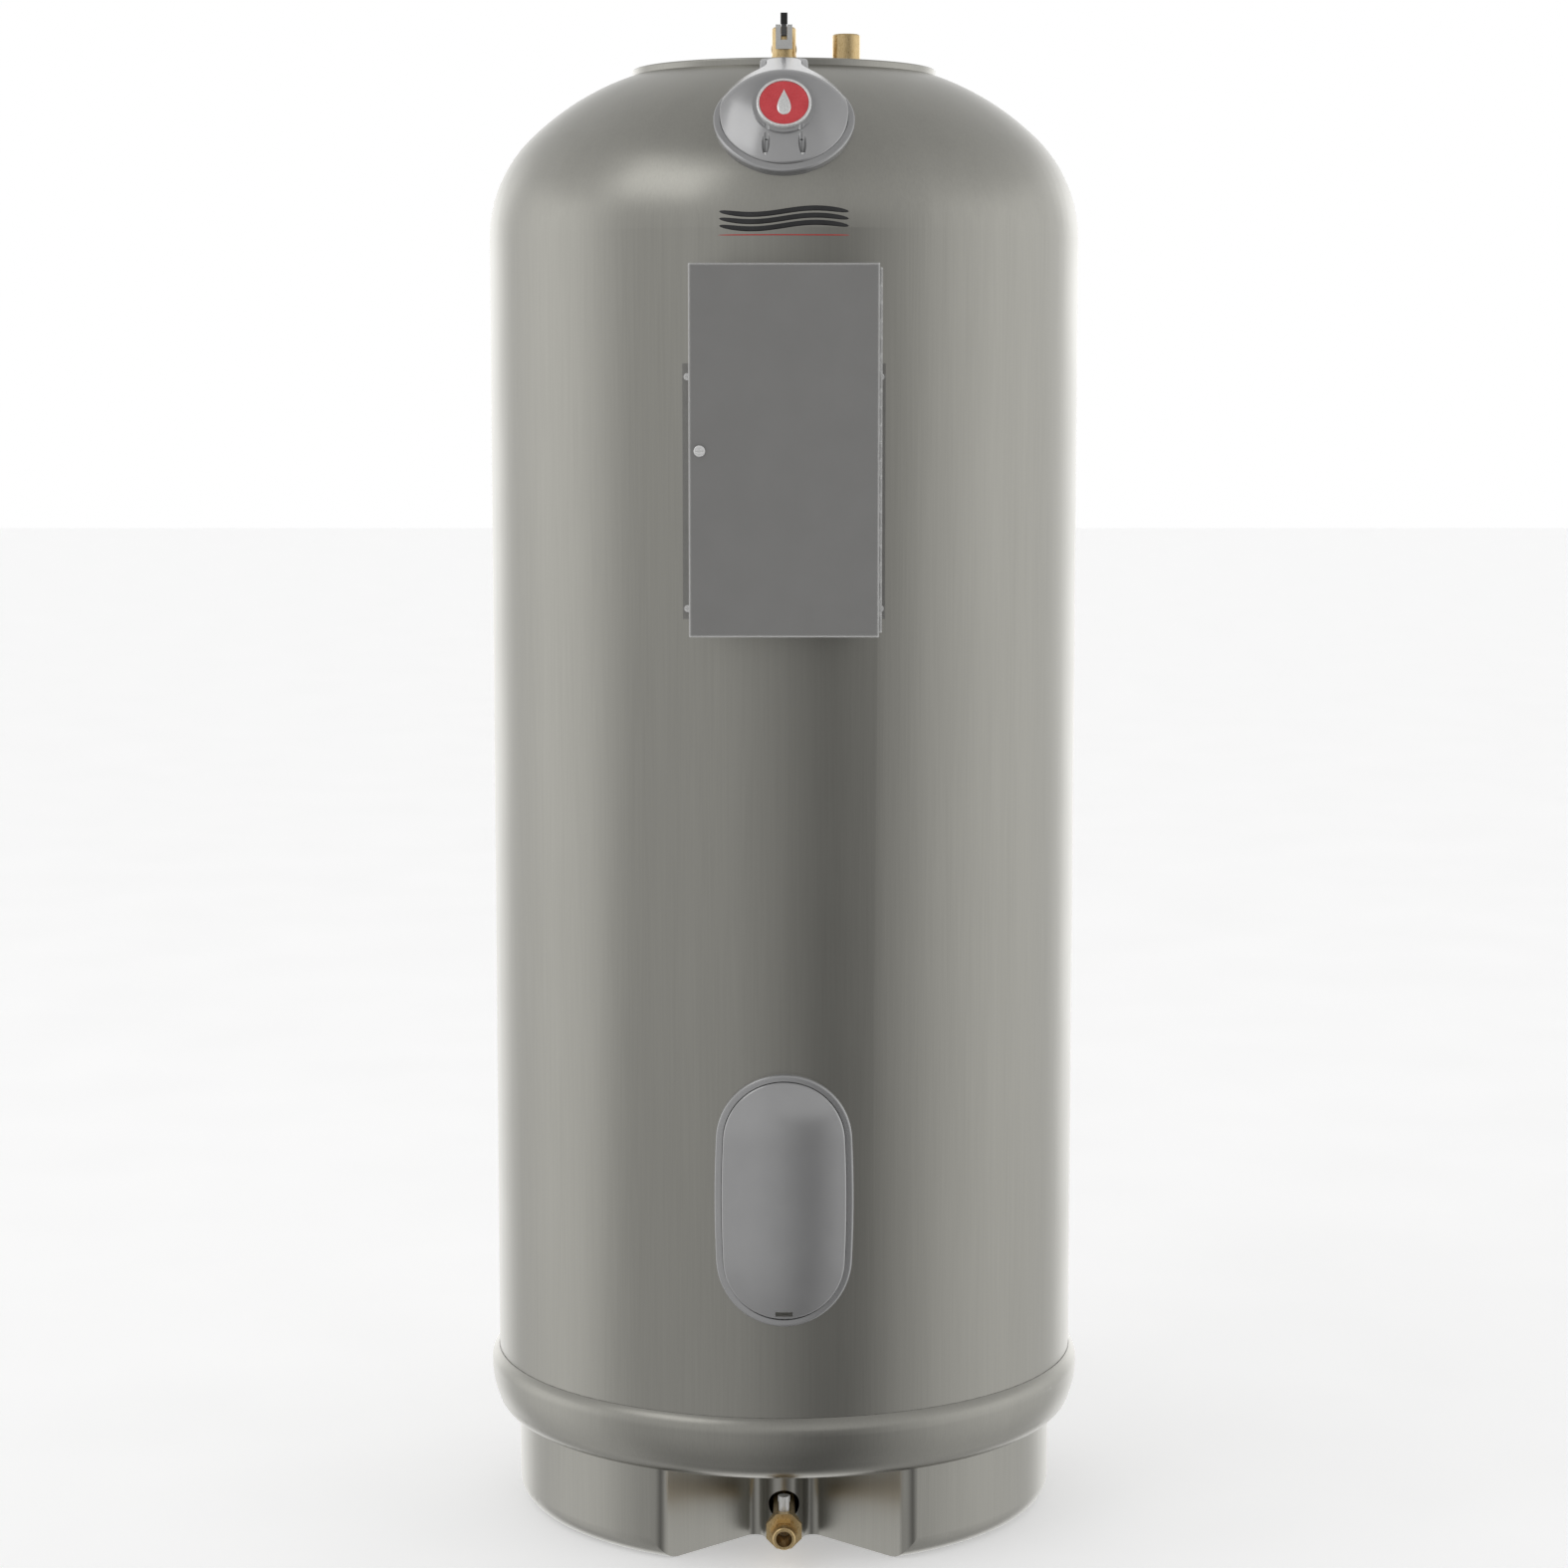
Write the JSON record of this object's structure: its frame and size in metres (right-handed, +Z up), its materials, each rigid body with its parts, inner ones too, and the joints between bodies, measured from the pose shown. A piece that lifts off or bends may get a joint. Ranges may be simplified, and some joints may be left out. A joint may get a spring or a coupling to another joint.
{
  "type": "tank water heater",
  "caption": "Tall floor-standing electric storage water heater with a domed jacket, bulged base, front control box and brass water fittings.",
  "frame": {"origin": "on the floor under the jacket's axis, at the centre of the base's underside", "axes": "+Z up along the jacket's axis; the front, with the control box and the drain valve, faces -Y; +X to the viewer's right"},
  "size_m": [0.7358, 0.8367, 1.834],
  "materials": {
    "jacket_plastic": "satin metallic grey, faint vertical brushing",
    "cover_plastic": "semi-gloss light grey",
    "grey_paint": "satin mid grey paint",
    "brass": "turned brass",
    "steel": "zinc-plated steel",
    "dark_steel": "blackened steel",
    "bright_trim": "bright plated",
    "badge_red": "glossy red",
    "black_plastic": "matte black",
    "black_rubber": "matte",
    "foam": "porous cream foam",
    "fibreglass": "wound glass fibre in resin",
    "liner_plastic": "smooth milky plastic",
    "pipe_plastic": "cream pipe plastic",
    "element_steel": "satin element sheath",
    "red_plastic": "glossy red",
    "white_ceramic": "matt white"
  },
  "bodies": {
    "heater": {"outer_jacket": "jacket_plastic", "base_shell": "jacket_plastic", "fiberglass_vessel": "fibreglass", "plastic_liner": "liner_plastic", "foam_insulation": "foam", "vessel_cradle": "foam", "port_fittings": "brass", "hot_outlet_nipple": "brass", "cold_inlet_nipple": "brass", "dip_tube": "pipe_plastic", "relief_valve_body": "brass", "relief_valve_yoke": "steel", "relief_valve_probe": "brass", "relief_valve_stem": "steel", "relief_valve_spring": "steel", "relief_lever_pin": "steel", "drain_pipe": "pipe_plastic", "drain_valve_body": "brass", "upper_element": "element_steel", "lower_element": "element_steel", "element_gaskets": "black_rubber", "thermostat_brackets": "steel", "upper_thermostat": "black_plastic", "lower_thermostat": "black_plastic", "high_limit_switch": "black_plastic", "wire_conduits": "pipe_plastic", "lower_cover_rim": "cover_plastic", "lower_cover": "cover_plastic", "junction_cover_rim": "cover_plastic", "junction_cover": "cover_plastic", "badge_ring": "bright_trim", "badge_disc": "badge_red", "junction_cover_screws": "bright_trim", "box_mounting_plate": "steel", "box_standoffs": "steel", "box_mounting_screws": "bright_trim", "box_enclosure": "grey_paint", "box_fixing_screws": "steel", "hinge_leaf_box": "grey_paint", "hinge_pin": "steel", "component_panel": "steel", "left_contactor": "black_plastic", "right_contactor": "black_plastic", "terminal_block": "black_plastic", "ground_lug": "steel", "fuse_block": "black_plastic", "cartridge_fuses": "white_ceramic"},
    "door": {"box_door": "grey_paint", "hinge_leaf_door": "grey_paint"},
    "latch": {"door_latch": "bright_trim", "latch_clip": "steel"},
    "lever": {"relief_lever": "dark_steel", "relief_lever_grip": "black_rubber"},
    "drain_stem": {"drain_valve_stem": "steel", "drain_valve_ball": "bright_trim"},
    "reset": {"reset_button": "red_plastic"},
    "upper_dial": {"upper_thermostat_dial": "white_ceramic"},
    "lower_dial": {"lower_thermostat_dial": "white_ceramic"}
  },
  "joints": [
    {"name": "door_hinge", "type": "hinge", "parent": "heater", "child": "door", "pos_m": [0.106, -0.4624, 1.3165], "axis": [0, 0, 1], "range_deg": [0, 120]},
    {"name": "latch_turn", "type": "hinge", "parent": "door", "child": "latch", "pos_m": [-0.093, -0.4665, 1.3165], "axis": [0, 1, 0], "range_deg": [0, 90]},
    {"name": "relief_lever_lift", "type": "hinge", "parent": "heater", "child": "lever", "pos_m": [0, -0.0367, 1.808], "axis": [1, 0, 0], "range_deg": [0, 80]},
    {"name": "drain_turn", "type": "hinge", "parent": "heater", "child": "drain_stem", "pos_m": [0, -0.304, 0.044], "axis": [0, 0, 1], "range_deg": [0, 90]},
    {"name": "reset_press", "type": "slide", "parent": "heater", "child": "reset", "axis": [0, 1, 0], "range_m": [0, 0.002], "stiffness_N_per_m": 400, "springref_m": -0.001},
    {"name": "upper_dial_turn", "type": "hinge", "parent": "heater", "child": "upper_dial", "pos_m": [0, -0.298, 1.341], "axis": [0, 1, 0], "range_deg": [-120, 120]},
    {"name": "lower_dial_turn", "type": "hinge", "parent": "heater", "child": "lower_dial", "pos_m": [0, -0.298, 0.461], "axis": [0, 1, 0], "range_deg": [-120, 120]}
  ]
}
